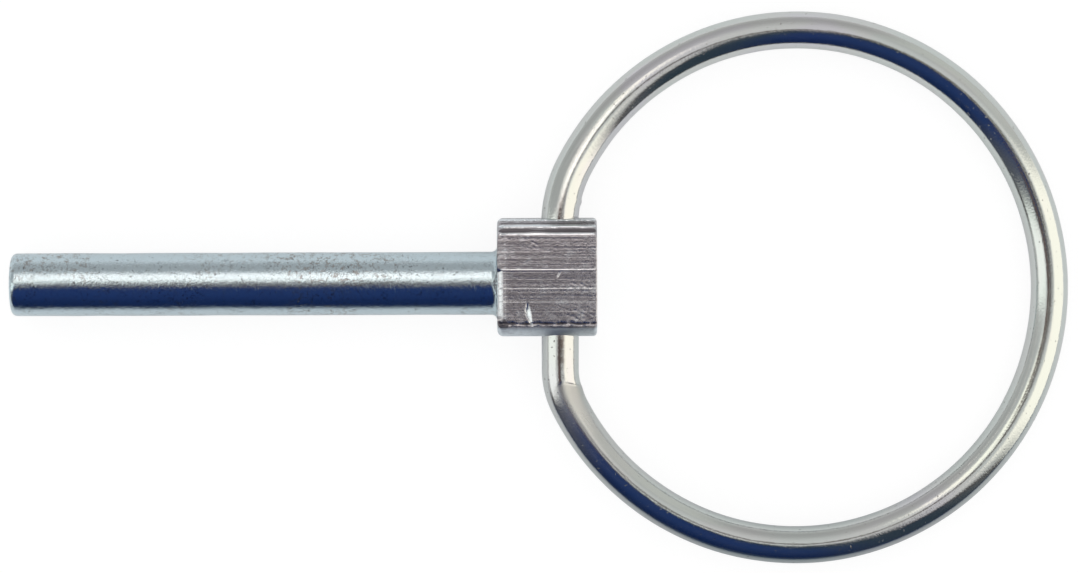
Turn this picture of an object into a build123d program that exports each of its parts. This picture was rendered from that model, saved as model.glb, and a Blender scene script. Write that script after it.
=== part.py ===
from build123d import *
from math import acos, asin, cos, degrees, radians, sin
import os

# Wheel pin: a headed steel pin with a wire ring that keeps it in its hole.
# The pin goes through the wheel's hub and its axle. The ring then swings over to the free end of the
# shank, round the axle, so that the pin can't slide back out.
# Frame: X runs along the pin from its tip to its ring, Y runs along the hole that carries the ring,
# and Z is up. The part lies on one flat of its head and on the far side of its ring. The origin is on
# that surface, straight below the point where the shank's axis crosses the ring's hinge line.

# Shank
shank_diameter = 6.35
shank_length = 49.0
tip_round = 0.6
tip_crown = 0.15
root_flare = 0.6

# Head, upset in one piece with the shank to a slug on an axis of its own, then sheared to two flats
head_width = 11.9
head_length = 10.0
head_eccentricity = 0.6
slug_thickness = 8.4
upper_corner = 3.4
lower_corner = 2.7
flat_step = 0.525
shoulder_round = 0.6
end_round = 0.4
bevel_length = 1.0
bevel_step = 0.08

# Cross hole
hole_clearance = 0.07
end_wall = 1.75

# Ring, bent from one spring wire. The ring's diameter is that of its lower side. Its far side is a little
# flatter, its upper side a little tighter, and its upper bend is wider than its lower one.
wire_diameter = 3.76
ring_diameter = 51.2
far_side_easing = 0.7
far_side_above = 40.0
far_side_below = 30.0
upper_side_tightening = 0.3
upper_bend_radius = 13.0
upper_bend_inset = 0.8
lower_bend_radius = 8.0
lower_bend_angle = 26.3
wire_end_gap = 1.6

# Sizes that follow from these
shank_radius = shank_diameter / 2
head_thickness = shank_diameter + 2 * flat_step
bevel_low = shank_radius + bevel_step
wire_radius = wire_diameter / 2
hole_radius = wire_radius + hole_clearance

# The places of the pin's shoulder and axis, as seen from the origin
shoulder_x = -(head_length - end_wall - hole_radius)
axis_height = head_thickness / 2

# The ring's sides are arcs, and the far side's arc runs from below its farthest point to above it.
lower_radius = ring_diameter / 2
far_radius = lower_radius + far_side_easing
upper_radius = lower_radius - upper_side_tightening

# Each arc carries the wire away from the hinge line by its radius times the change in the cosine of the
# angle turned so far. Added up from the lower leg, that is how far the ring reaches. Added up from the
# upper leg it has to give the same, so that both legs are in line, and this sets the upper bend's angle.
lower_bend_cos = cos(radians(lower_bend_angle))
below_cos = -cos(radians(far_side_below))
above_cos = -cos(radians(far_side_above))
lower_bend_rise = lower_bend_radius * (1 - lower_bend_cos)
lower_side_rise = lower_radius * (lower_bend_cos - below_cos)
ring_reach = lower_bend_rise + lower_side_rise + far_radius * (1 + below_cos)
upper_rise = ring_reach - far_radius * (1 + above_cos)
upper_step = upper_radius - upper_bend_radius
upper_bend_cos = (upper_rise + upper_radius * above_cos - upper_bend_radius) / upper_step
upper_bend_angle = degrees(acos(upper_bend_cos))
upper_side_angle = 180 - far_side_above - upper_bend_angle
lower_side_angle = 180 - far_side_below - lower_bend_angle
far_side_angle = far_side_above + far_side_below

# The upper bend starts just inside the mouth of the cross hole, where the clearance still takes it in.
upper_leg_end = head_width / 2 - upper_bend_inset

# The ring hangs from its hinge line until its far side touches what the part lies on.
ring_drop = asin((axis_height - wire_radius) / ring_reach)

os.makedirs("parts", exist_ok=True)

# Pin: shank and head are one piece of steel.
with BuildPart() as pin:
    # Head: a flat-sided slug with rounded corners, on its own axis, rounded at both ends.
    head_centre = (shoulder_x, head_eccentricity, axis_height)
    with BuildSketch(Plane(origin=head_centre, x_dir=(0, 1, 0), z_dir=(1, 0, 0))) as slug:
        Rectangle(head_width, slug_thickness)
        fillet(slug.vertices().group_by(Axis.X)[-1], radius=upper_corner)
        fillet(slug.vertices().group_by(Axis.X)[0], radius=lower_corner)
    extrude(amount=head_length)
    fillet(pin.edges().group_by(Axis.X)[0], radius=shoulder_round)
    fillet(pin.edges().group_by(Axis.X)[-1], radius=end_round)

    # Shank: a round bar with a crowned tip, flaring where it runs into the shoulder.
    shoulder_centre = (shoulder_x, 0, axis_height)
    with BuildSketch(Plane(origin=shoulder_centre)) as shank_profile:
        with BuildLine() as shank_outline:
            flare = RadiusArc((0, shank_radius + root_flare), (-root_flare, shank_radius), root_flare)
            tip_edge = tip_crown + tip_round - shank_length
            side = Line(flare @ 1, (tip_edge, shank_radius))
            crown_half = shank_radius - tip_round
            corner = RadiusArc(side @ 1, (tip_edge - tip_round, crown_half), -tip_round)
            crown_radius = (crown_half**2 + tip_crown**2) / (2 * tip_crown)
            crown = RadiusArc(corner @ 1, (-shank_length, 0), -crown_radius)
            Polyline(crown @ 1, (0, 0), flare @ 0)
        make_face()
    revolve(axis=Axis(shoulder_centre, (1, 0, 0)))

    # Flats: both sides are sheared off, down to a bevel that meets the shank at the shoulder.
    side_view = Plane(origin=shoulder_centre, x_dir=(1, 0, 0), z_dir=(0, -1, 0))
    with BuildSketch(side_view) as sheared_off:
        with BuildLine():
            Polyline(
                (-2 * root_flare, bevel_low),
                (0, bevel_low),
                (bevel_length, axis_height),
                (head_length + end_round, axis_height),
                (head_length + end_round, slug_thickness),
                (-2 * root_flare, slug_thickness),
                close=True,
            )
        make_face()
        mirror(about=Plane.XZ)
    extrude(amount=head_width, both=True, mode=Mode.SUBTRACT)

    # Cross hole: the ring's legs turn in it.
    with Locations(Plane(origin=(0, head_eccentricity, axis_height), z_dir=(0, 1, 0))):
        Hole(radius=hole_radius)
pin.part.label = "pin"

# Ring: one wire, from the end of the upper leg round to the end of the lower one.
ring_plane = Plane(
    origin=(0, head_eccentricity, axis_height),
    x_dir=(cos(ring_drop), 0, -sin(ring_drop)),
    z_dir=(sin(ring_drop), 0, cos(ring_drop)),
)
with BuildPart() as ring:
    with BuildLine(ring_plane) as wire:
        leg = Line((0, wire_end_gap / 2), (0, upper_leg_end))
        upper_bend = JernArc(leg @ 1, leg % 1, upper_bend_radius, -upper_bend_angle)
        upper_side = JernArc(upper_bend @ 1, upper_bend % 1, upper_radius, -upper_side_angle)
        far_side = JernArc(upper_side @ 1, upper_side % 1, far_radius, -far_side_angle)
        lower_side = JernArc(far_side @ 1, far_side % 1, lower_radius, -lower_side_angle)
        lower_bend = JernArc(lower_side @ 1, lower_side % 1, lower_bend_radius, -lower_bend_angle)
        Line(lower_bend @ 1, (0, -wire_end_gap / 2))
    with BuildSketch(Plane(origin=wire.line @ 0, z_dir=wire.line % 0)) as section:
        Circle(wire_radius)
    sweep()
ring.part.label = "ring"

export_step(pin.part, "parts/pin.step")
export_step(ring.part, "parts/ring.step")

# The angle at which the far side of the ring meets the shank gives the hinge its limits.
ring_stop = 180 - degrees(asin((wire_radius + shank_radius) / ring_reach))
print("shoulder at x", round(shoulder_x, 3), "and axis at z", round(axis_height, 3))
print("ring reaches", round(ring_reach, 3), "and drops", round(degrees(ring_drop), 3), "degrees")
print("ring meets the shank at", round(ring_stop, 2), "degrees either way from the plane of the pin")
print("upper bend turns", round(upper_bend_angle, 2), "degrees")
print("lower bend starts at y", round((lower_bend @ 1).Y, 3))
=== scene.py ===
# %% [markdown]
# # A wheel pin with its spring ring
#
# The part is a headed steel pin, zinc plated, and a ring of spring wire whose two legs turn in the pin's
# head. It lies on white paper and is seen from straight above. Bright plating is nearly a mirror, so the
# eye reads its shape from what it reflects. This lesson therefore builds three things with equal care: the
# room round the part, the shapes with their tool marks, and the plating.

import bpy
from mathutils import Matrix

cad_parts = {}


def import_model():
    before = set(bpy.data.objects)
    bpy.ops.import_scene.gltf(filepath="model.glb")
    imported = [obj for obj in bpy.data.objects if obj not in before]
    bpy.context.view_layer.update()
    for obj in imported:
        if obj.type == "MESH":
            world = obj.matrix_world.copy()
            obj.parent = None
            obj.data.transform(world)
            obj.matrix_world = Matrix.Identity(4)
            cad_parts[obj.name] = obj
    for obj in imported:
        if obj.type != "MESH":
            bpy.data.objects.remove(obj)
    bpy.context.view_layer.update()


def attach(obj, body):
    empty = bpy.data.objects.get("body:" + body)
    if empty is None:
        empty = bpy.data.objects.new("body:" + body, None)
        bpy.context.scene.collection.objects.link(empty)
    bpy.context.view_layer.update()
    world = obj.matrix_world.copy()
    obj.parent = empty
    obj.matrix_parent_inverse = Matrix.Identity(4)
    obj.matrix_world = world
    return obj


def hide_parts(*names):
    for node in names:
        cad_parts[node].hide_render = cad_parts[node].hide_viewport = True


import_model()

# %% The rest of what the lesson uses
import math

import bpy
import numpy as np

MM = 0.001
SEED = 7
scene = bpy.context.scene
scene.view_settings.view_transform = "Standard"

# %% [markdown]
# ## The camera
#
# Small hardware is photographed from high up with a long lens, so that a round ring stays round. The
# camera looks straight down on the middle of the part. Its height follows from the lens and from how much
# of the paper fits into the picture at the height of the shank's axis. The part lies a fraction of a
# degree askew.

# %% Camera
AXIS_HEIGHT = 3.7
LENS = 150.0
SENSOR = 36.0
CLIP_START = 0.01
VIEW_WIDTH = 108.55
VIEW_MIDDLE = (-2.06, -0.35)
ASKEW = -0.2

camera_data = bpy.data.cameras.new("camera")
camera_data.type = "PERSP"
camera_data.lens = LENS
camera_data.sensor_width = SENSOR
camera_data.clip_start = CLIP_START
camera = bpy.data.objects.new("camera", camera_data)
scene.collection.objects.link(camera)
camera_height = AXIS_HEIGHT + VIEW_WIDTH * LENS / SENSOR
camera.location = (VIEW_MIDDLE[0] * MM, VIEW_MIDDLE[1] * MM, camera_height * MM)
camera.rotation_euler = (0, 0, math.radians(ASKEW))
scene.camera = camera
print("the camera is", round(camera_height), "mm above the paper")

# %% [markdown]
# ## Shader maths as plain expressions
#
# Every finish below is a sum of masks. Node by node that is hard to read, so one small class wraps a
# node's output: arithmetic on it adds Math nodes, and its one other method adds any other kind of node.
# Settings are made first, because they decide which sockets a node shows.


# %% One class for shader maths
class Socket:
    """One output in a node tree."""

    def __init__(self, tree, output=None):
        self.tree, self.output = tree, output

    def node(self, kind, settings=None, inputs=None, output=0):
        made = self.tree.nodes.new(kind)
        for name, value in (settings or {}).items():
            if name == "stops":
                ends = made.color_ramp.elements
                ends[0].position, ends[0].color = value[0]
                ends[1].position, ends[1].color = value[-1]
                for place, colour in value[1:-1]:
                    ends.new(place).color = colour
            else:
                setattr(made, name, value)
        for name, value in (inputs or {}).items():
            if isinstance(value, Socket):
                self.tree.links.new(value.output, made.inputs[name])
            else:
                made.inputs[name].default_value = value
        return Socket(self.tree, made.outputs[output] if made.outputs else None)

    def maths(self, operation, *values):
        return self.node("ShaderNodeMath", {"operation": operation}, dict(enumerate(values)))

    def __add__(self, other):
        return self.maths("ADD", self, other)

    def __sub__(self, other):
        return self.maths("SUBTRACT", self, other)

    def __rsub__(self, other):
        return self.maths("SUBTRACT", other, self)

    def __mul__(self, other):
        return self.maths("MULTIPLY", self, other)

    __radd__ = __add__
    __rmul__ = __mul__

    def rise(self, low, high):
        """0 up to low and 1 from high on, with a smooth step between. Low may be the larger one."""
        return self.node(
            "ShaderNodeMapRange",
            {"interpolation_type": "SMOOTHSTEP", "clamp": True},
            {"Value": self, "From Min": low, "From Max": high},
        )

    def band(self, low, high, soft):
        """1 between low and high, and 0 outside, with soft edges."""
        return self.rise(low - soft, low + soft) * self.rise(high + soft, high - soft)

    def mix(self, first, second):
        """The colour first where this mask is 0, and second where it is 1."""
        return self.node(
            "ShaderNodeMix",
            {"data_type": "RGBA"},
            {0: self, 6: first, 7: second},
            output=2,
        )

    def xyz(self):
        """The three parts of a vector."""
        return [self.node("ShaderNodeSeparateXYZ", inputs={0: self}, output=n) for n in range(3)]


def empty_tree(owner):
    """Clears the node tree of a material or world and returns the start of a new one."""
    owner.use_nodes = True
    owner.node_tree.nodes.clear()
    return Socket(owner.node_tree)


def grey(value):
    return (value, value, value, 1)


print("shader maths is ready")

# %% [markdown]
# ## The room
#
# A mirror has no look of its own, so the room is what gives the plating its stripes. This room is a plain
# pale one. It has a deep blue side towards the viewer's feet, which turns nearly black to the right, grey
# to the left and brown along its edge. It also has a tall window on the right, a narrower one on the left
# and a lamp high up beyond the ring. It could be built from panels, but the world's shader does it with
# less: it knows the direction that a ray leaves in, and a few soft masks over that direction paint the
# room. Only mirror rays see this. To the camera the background is plain white, and dull surfaces are lit
# evenly.
#
# A direction is given in degrees, as a tilt from straight up and a heading. The heading runs from the
# right round to the viewer's feet, or, for what is on the left, from the left round to beyond the part.

# %% Colours and places of the room
ROOM_BRIGHTNESS = [
    (0.0, grey(0.86)),
    (0.10, grey(0.86)),
    (0.17, grey(0.80)),
    (0.28, grey(0.60)),
    (0.38, grey(0.54)),
    (0.47, grey(0.68)),
    (0.52, grey(1.0)),
]
BLUE_HIGH = (0.017, 0.046, 0.172, 1)
BLUE_LOW = (0.007, 0.024, 0.100, 1)
SIDE_BLACK = (0.036, 0.060, 0.085, 1)
SIDE_GREY = (0.16, 0.165, 0.175, 1)
BACK_WALL = (0.79, 0.79, 0.76, 1)
SIDE_BROWN = (0.060, 0.046, 0.044, 1)
WINDOW_RIGHT = (1.72, 1.63, 1.46, 1)
WINDOW_LEFT = (1.46, 1.50, 1.44, 1)
LAMP = (1.75, 1.70, 1.52, 1)

# The first and last degree of each patch, and how soft its edges are: its heading first, then its tilt.
BACK_WALL_PLACE = ((-62, -28, 8), (44, 88, 7))
WINDOW_RIGHT_PLACE = ((-24, 31, 6), (24, 100, 6))
LAMP_PLACE = ((20, 78, 8), (8, 30, 5))
WINDOW_LEFT_STARTS, WINDOW_LEFT_ENDS = (-28, -15), (9, 2)
WINDOW_LEFT_TILT = (27, 77, 5)

# Where the blue side starts and ends, turns low, black and grey, and ends at the floor.
BLUE_STARTS, BLUE_ENDS = (30, 38), (172, 140)
BLUE_TURNS_LOW, BLUE_ENDS_LOW = (32, 80), (95, 83)
TURNS_BLACK, TURNS_GREY, GREY_AGAIN = (82, 60), (52, 38), (130, 156)

# The edge of the blue side leans back towards the right, in two steps.
EDGE_LEANS = [(-0.40, (0.04, 0.38)), (-0.15, (0.35, 0.8))]
EDGE_SOFT = (-0.03, 0.14)
BROWN_FROM, BLUE_FROM = (0.02, 0.35), (0.35, 0.85)
print("the room's brightness has", len(ROOM_BRIGHTNESS), "stops")

# %% World
world = bpy.data.worlds.new("room")
scene.world = world
start = empty_tree(world)
direction = start.node("ShaderNodeTexCoord", output="Generated")
across, up_picture, above = direction.xyz()
tilt = above.maths("ARCCOSINE", above) * (180 / math.pi)
azimuth = above.maths("ARCTAN2", 0 - up_picture, across) * (180 / math.pi)
from_left = above.maths("ARCTAN2", up_picture, 0 - across) * (180 / math.pi)


def patch(heading, place):
    """A patch of the room with soft edges."""
    return heading.band(*place[0]) * tilt.band(*place[1])


room = start.node("ShaderNodeValToRGB", {"stops": ROOM_BRIGHTNESS}, {0: tilt * (1 / 180)})
back_wall = patch(azimuth, BACK_WALL_PLACE)
window_right = patch(azimuth, WINDOW_RIGHT_PLACE)
lamp = patch(from_left, LAMP_PLACE)
window_left = from_left.rise(*WINDOW_LEFT_STARTS) * from_left.rise(*WINDOW_LEFT_ENDS)
window_left = window_left * tilt.band(*WINDOW_LEFT_TILT)
blue_tone = tilt.rise(*BLUE_TURNS_LOW).mix(BLUE_HIGH, BLUE_LOW)
blue_tone = azimuth.rise(*TURNS_BLACK).mix(blue_tone, SIDE_BLACK)
blue_tone = azimuth.rise(*TURNS_GREY).mix(blue_tone, SIDE_GREY)
first_lean, second_lean = (across.rise(*where) * lean for lean, where in EDGE_LEANS)
blue_side = (first_lean + second_lean - up_picture).rise(*EDGE_SOFT) * tilt.rise(*BLUE_ENDS_LOW)
blue_side = blue_side * azimuth.rise(*BLUE_STARTS) * azimuth.rise(*BLUE_ENDS)
seen = back_wall.mix(room, BACK_WALL)
seen = blue_side.rise(*BROWN_FROM).mix(seen, SIDE_BROWN)
seen = blue_side.rise(*BLUE_FROM).mix(seen, blue_tone)
seen = (blue_side * azimuth.rise(*GREY_AGAIN)).mix(seen, SIDE_GREY)
seen = lamp.mix(seen, LAMP)
seen = window_right.mix(seen, WINDOW_RIGHT)
seen = window_left.mix(seen, WINDOW_LEFT)
mirror_ray = start.node("ShaderNodeLightPath", output="Is Glossy Ray")
light = mirror_ray.mix(grey(1.0), seen)
glow = start.node("ShaderNodeBackground", inputs={"Color": light, "Strength": 1.0})
start.node("ShaderNodeOutputWorld", inputs={"Surface": glow})
print("the room has", len(world.node_tree.nodes), "nodes")

# %% [markdown]
# ## What hangs above the part
#
# The shank carries a white highlight that the ring, a few centimetres away, doesn't share. So its source
# is close by: a white card held just above and behind the shank. Slats hang under it, as on a gridded
# lamp, so that the ring doesn't see it from the side. The camera, far higher up, shows as a thin brown
# line along the top of the ring, which fades towards its upper left. The arm that holds the camera is
# wider, and shows as a brown band along the shank. All of these are real sheets, because only something
# near can be seen by one part and not by another. Their edges are soft, as those of a reflector are. The
# camera and the lighting of the paper don't see them.

# %% Sizes of the cards
CARD_STEPS = 24
REFLECTOR_HEIGHT = 42.0
REFLECTOR_CORNERS = [(-95, 7.7), (8.0, 8.3), (6.0, 32.4), (-95, 32.4)]
REFLECTOR_LIGHT = (2.2, 2.04, 1.95, 1)
REFLECTOR_SOFT = (0.03, 0.14)
FIN_COUNT = 42
FIN_DEPTH = 5.0
FIN_TONE = (0.56, 0.56, 0.56, 1)
OVERHEAD_HEIGHT = 440.0
OVERHEAD_CORNERS = [(-150, -40), (230, 3), (230, 70), (-150, 20)]
OVERHEAD_TONE = (0.17, 0.145, 0.135, 1)
OVERHEAD_SOFT = (0.3, 0.3)
ARM_HEIGHT = 430.0
ARM_CORNERS = [(-108, -86), (-9, -80), (-9, 80), (-108, 86)]
ARM_TONE = (0.155, 0.107, 0.100, 1)
ARM_SOFT = (0.06, 0.2)


def grid_faces(rows, columns, closed=False):
    """The corner numbers of a grid's faces. A closed grid's last column joins its first."""
    row = np.arange(rows - 1)[:, None] * columns
    column = np.arange(columns if closed else columns - 1)[None, :]
    after = (column + 1) % columns
    corners = [row + column, row + after, row + columns + after, row + columns + column]
    return np.stack(corners, axis=-1).reshape(-1, 4)


def new_mesh(name, points, faces):
    """An object from points in millimetres and from faces of any number of corners."""
    mesh = bpy.data.meshes.new(name)
    mesh.from_pydata((np.asarray(points) * MM).tolist(), [], [list(map(int, f)) for f in faces])
    mesh.update()
    made = bpy.data.objects.new(name, mesh)
    scene.collection.objects.link(made)
    return made


def glow_sheet(name, points, faces, u, v, colour, soft):
    """A glowing sheet that only mirror rays see. Soft is the share, along u and v, that fades out."""
    made = new_mesh(name, points.reshape(-1, 3), faces)
    for label, values in (("card_u", u), ("card_v", v)):
        place = made.data.attributes.new(label, "FLOAT", "POINT")
        place.data.foreach_set("value", values.astype(np.float32).ravel())
    material = bpy.data.materials.new(name)
    begin = empty_tree(material)
    along = begin.node("ShaderNodeAttribute", {"attribute_name": "card_u"}, output="Fac")
    over = begin.node("ShaderNodeAttribute", {"attribute_name": "card_v"}, output="Fac")
    solid = along.rise(0, soft[0]) * along.rise(1, 1 - soft[0])
    solid = solid * over.rise(0, soft[1]) * over.rise(1, 1 - soft[1])
    shine = begin.node("ShaderNodeEmission", inputs={"Color": colour, "Strength": 1.0})
    clear = begin.node("ShaderNodeBsdfTransparent")
    both = begin.node("ShaderNodeMixShader", inputs={0: solid, 1: clear, 2: shine})
    begin.node("ShaderNodeOutputMaterial", inputs={"Surface": both})
    made.data.materials.append(material)
    made.visible_camera = False
    made.visible_diffuse = False
    made.visible_shadow = False


def on_card(corners, u, v):
    """Places on the level sheet between four corners."""
    a, b, c, d = (np.array(corner, float) for corner in corners)
    u, v = u[..., None], v[..., None]
    return (1 - v) * ((1 - u) * a + u * b) + v * (u * c + (1 - u) * d)


def card(name, corners, height, colour, soft):
    """A level sheet between four corners."""
    u, v = np.meshgrid(np.linspace(0, 1, CARD_STEPS), np.linspace(0, 1, CARD_STEPS))
    points = np.concatenate([on_card(corners, u, v), np.full((*u.shape, 1), height)], axis=-1)
    glow_sheet(name, points, grid_faces(CARD_STEPS, CARD_STEPS), u, v, colour, soft)


def fins(name, corners, height, colour, soft):
    """Slats that hang from a card. They hide it from rays that come in along the shank."""
    share = np.linspace(0, 1, FIN_COUNT)
    u, v, hang = np.meshgrid(share, np.linspace(0, 1, CARD_STEPS), [0.0, FIN_DEPTH], indexing="ij")
    points = np.concatenate([on_card(corners, u, v), (height - hang)[..., None]], axis=-1)
    one = grid_faces(CARD_STEPS, 2)
    faces = np.concatenate([one + fin * CARD_STEPS * 2 for fin in range(FIN_COUNT)])
    glow_sheet(name, points, faces, u, v, colour, soft)


card("reflector_card", REFLECTOR_CORNERS, REFLECTOR_HEIGHT, REFLECTOR_LIGHT, REFLECTOR_SOFT)
fins("reflector_fins", REFLECTOR_CORNERS, REFLECTOR_HEIGHT, FIN_TONE, REFLECTOR_SOFT)
card("edge_card", ARM_CORNERS, ARM_HEIGHT, ARM_TONE, ARM_SOFT)
card("overhead_card", OVERHEAD_CORNERS, OVERHEAD_HEIGHT, OVERHEAD_TONE, OVERHEAD_SOFT)
print("the cards stand", REFLECTOR_HEIGHT, ARM_HEIGHT, "and", OVERHEAD_HEIGHT, "mm above the paper")

# %% [markdown]
# ## The paper
#
# The paper has to look pure white and still carry the faint shadow that seats the part on it. So most of
# its brightness for the camera is its own glow, and the rest is a dull white that the part can shade.
# Mirror rays see a paper lit by the room, with a painted shade that darkens its colour towards the blue
# side, where it runs out. From underneath the paper is clear, so that the part can be looked at from below
# too.

# %% Paper
PAPER_HALF = 1500.0
PAPER_GLOW = 0.87
PAPER_DULL = 0.16
# The paper's painted shade: where its colour darkens, its plain colour and its darkest one.
PAPER_SHADE_SPAN = (-62, -4)
PAPER_FAR = (0.93, 0.95, 0.96, 1)
PAPER_PAINTED_SHADE = (0.03, 0.06, 0.12, 1)

paper = new_mesh(
    "paper",
    [(x * PAPER_HALF, y * PAPER_HALF, 0) for x, y in ((-1, -1), (1, -1), (1, 1), (-1, 1))],
    [(0, 1, 2, 3)],
)
paper_material = bpy.data.materials.new("paper")
begin = empty_tree(paper_material)
place = begin.node("ShaderNodeTexCoord", output="Object")
# Painted shade: for mirror rays the paper's colour darkens towards the blue side.
painted_light_share = (place.xyz()[1] * (1 / MM)).rise(*PAPER_SHADE_SPAN)
paper_tone_with_painted_shade = painted_light_share.mix(PAPER_PAINTED_SHADE, PAPER_FAR)
reflected = begin.node("ShaderNodeBsdfDiffuse", inputs={"Color": paper_tone_with_painted_shade})
own_glow = begin.node("ShaderNodeEmission", inputs={"Color": grey(1), "Strength": PAPER_GLOW})
dull = begin.node("ShaderNodeBsdfDiffuse", inputs={"Color": grey(PAPER_DULL)})
looked_at = begin.node("ShaderNodeAddShader", inputs={0: own_glow, 1: dull})
camera_ray = begin.node("ShaderNodeLightPath", output="Is Camera Ray")
paper_seen = begin.node("ShaderNodeMixShader", inputs={0: camera_ray, 1: reflected, 2: looked_at})
behind = begin.node("ShaderNodeNewGeometry", output="Backfacing")
clear = begin.node("ShaderNodeBsdfTransparent")
paper_side = begin.node("ShaderNodeMixShader", inputs={0: behind, 1: paper_seen, 2: clear})
begin.node("ShaderNodeOutputMaterial", inputs={"Surface": paper_side})
paper.data.materials.append(paper_material)
print("the paper is", 2 * PAPER_HALF / 1000, "m wide")

# %% [markdown]
# ## Surface helpers
#
# Worked metal is never quite true. Bar stock has slow waves left by rolling, and shearing leaves small
# steps in the direction of the cut. Both are real relief here and not only shading, because reflections in
# bright plating show even a hundredth of a millimetre. Waves are a sum of plane waves in random
# directions. A step rises over a few hundredths of a millimetre and sinks back slowly, so that only its
# one side glints.


# %% Waves and steps
def waves(points, shortest, longest, seed, count=36):
    """A smooth random height over points in millimetres, about 1 high."""
    draw = np.random.default_rng(seed)
    height = np.zeros(points.shape[:-1])
    for _ in range(count):
        heading = draw.normal(size=3)
        heading *= 2 * np.pi / draw.uniform(shortest, longest) / np.linalg.norm(heading)
        height += np.cos(points @ heading + draw.uniform(0, 2 * np.pi))
    return height * math.sqrt(2 / count)


FAR_OUT = 500


def past(place, edge, steepness):
    """1 past an edge and 0 before it, with a soft step."""
    return 1 / (1 + np.exp(np.minimum((edge - place) * steepness, FAR_OUT)))


def before(place, edge, steepness):
    """1 before an edge and 0 past it, with a soft step."""
    return past(-place, -edge, steepness)


def one_step(across, place, width, tail):
    """A step at a place: it is 1 high on the near side and sinks to 0 over its tail."""
    beyond = place - across
    return np.exp(-np.clip(beyond, 0, None) / tail) * past(beyond * 4 / width, 0, 1)


STEP_WIDTHS = (0.05, 0.12)
STEP_TAILS = (0.15, 0.5)
STEP_OVERSHOOT = 5


def random_steps(along, across, low, high, start, end, count, deep, seed):
    """Many small steps that run along, each at its own place across and of its own length."""
    draw = np.random.default_rng(seed)
    height = np.zeros(np.broadcast(along, across).shape)
    for _ in range(count):
        place = draw.uniform(low, high)
        size = deep * draw.normal()
        first, last = np.sort(draw.uniform(start - STEP_OVERSHOOT, end + STEP_OVERSHOOT, 2))
        ends = past(along, first, 6) * before(along, last, 6)
        width, tail = draw.uniform(*STEP_WIDTHS), draw.uniform(*STEP_TAILS)
        height += size * ends * one_step(across, place, width, tail)
    return height


def round_off(distance, radius):
    """How far a rounded edge has drawn back at a distance from the face it runs into."""
    inside = np.clip(radius - distance, 0, radius)
    return radius - np.sqrt(radius**2 - inside**2)


def hill(x, y, middle_x, middle_y, half_x, half_y):
    """A soft hill of height 1."""
    return np.exp(-(((x - middle_x) / half_x) ** 2) - ((y - middle_y) / half_y) ** 2)


def valley(place, middle, half):
    """A soft line of height 1."""
    return np.exp(-(((place - middle) / half) ** 2))


print("waves and steps are ready")

# %% [markdown]
# ## The pin
#
# The real pin starts as a round bar. A press upsets its end into a slug, and a shear then trims two sides
# of the slug to flats. The shear leaves lengthwise lines on the flats, a bright burr along their upper
# edge, torn flutes on one side and a smooth lip on the other. It could be carved from a block, but all of
# it is a stack of closed outlines along one axis, from the crowned tip to the end of the head. So each
# outline has the same number of points, and the stack is skinned into one watertight mesh. The points are
# packed closely across the upper flat and the flutes, where the lines are, and loosely elsewhere.

# %% Sizes of the pin, in millimetres
SHANK_RADIUS = 3.175
TIP_X = -55.3
TIP_ROUND = 0.6
TIP_CROWN = 0.15
ROOT_FLARE = 0.6
SHOULDER_X = -6.3
HEAD_END_X = 3.7
HEAD_MIDDLE_Y = 0.6
UPPER_CORNER = (3.15, 0.8, 3.4)
LOWER_CORNER = (1.16, 0.97, 4.19)
FLAT_HEIGHT = 3.66
SHOULDER_ROUND = 0.6
END_ROUND = 0.4
FLAT_END_ROUND = 0.12
HOLE_RADIUS = 1.95
SKIN = 0.012

# %% Points round one outline
FLAT_POINTS = 170
UNDER_POINTS = 60
SIDE_POINTS = (60, 8, 14)
LIP_POINTS = (20, 8, 14)
AROUND = FLAT_POINTS + sum(LIP_POINTS) + UNDER_POINTS + sum(SIDE_POINTS)
print("each outline of the pin has", AROUND, "points")


# %% Outlines of the shank
CROWN_POINTS, ROUND_POINTS, STRAIGHT_POINTS = 9, 9, 51
SMALLEST_CROWN = 0.12
SHANK_SWELL = 0.008
SWELL_LENGTHS = (3, 11)
FLARE_TOP = 3.2


def shank_angles():
    """Where the outline's points lie round the shank, from the upper flat's far edge over the top."""
    flat = np.radians(np.linspace(45, 135, FLAT_POINTS))
    lip = np.radians(np.linspace(135, 225, sum(LIP_POINTS) + 2)[1:-1])
    under = np.radians(np.linspace(225, 315, UNDER_POINTS))
    side = np.radians(np.linspace(315, 405, sum(SIDE_POINTS) + 2)[1:-1])
    return np.concatenate([flat, lip, under, side])


def shank_profile():
    """Pairs of x and radius from the middle of the tip to the shoulder."""
    crown_half = SHANK_RADIUS - TIP_ROUND
    crown_radius = (crown_half**2 + TIP_CROWN**2) / (2 * TIP_CROWN)
    radius = np.linspace(SMALLEST_CROWN, 1, CROWN_POINTS) * crown_half
    crown_x = TIP_X + crown_radius - np.sqrt(crown_radius**2 - radius**2)
    turn = np.radians(np.linspace(0, 90, ROUND_POINTS + 1)[1:])
    corner_x = TIP_X + TIP_CROWN + TIP_ROUND * (1 - np.cos(turn))
    corner_radius = crown_half + TIP_ROUND * np.sin(turn)
    straight_x = np.linspace(corner_x[-1], SHOULDER_X - ROOT_FLARE, STRAIGHT_POINTS + 1)[1:]
    flare_x = SHOULDER_X - ROOT_FLARE + ROOT_FLARE * np.sin(turn)
    flare_radius = SHANK_RADIUS + ROOT_FLARE * (1 - np.cos(turn))
    all_x = np.concatenate([crown_x, corner_x, straight_x, flare_x])
    straight = np.full(len(straight_x), SHANK_RADIUS)
    return all_x, np.concatenate([radius, corner_radius, straight, flare_radius])


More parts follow.
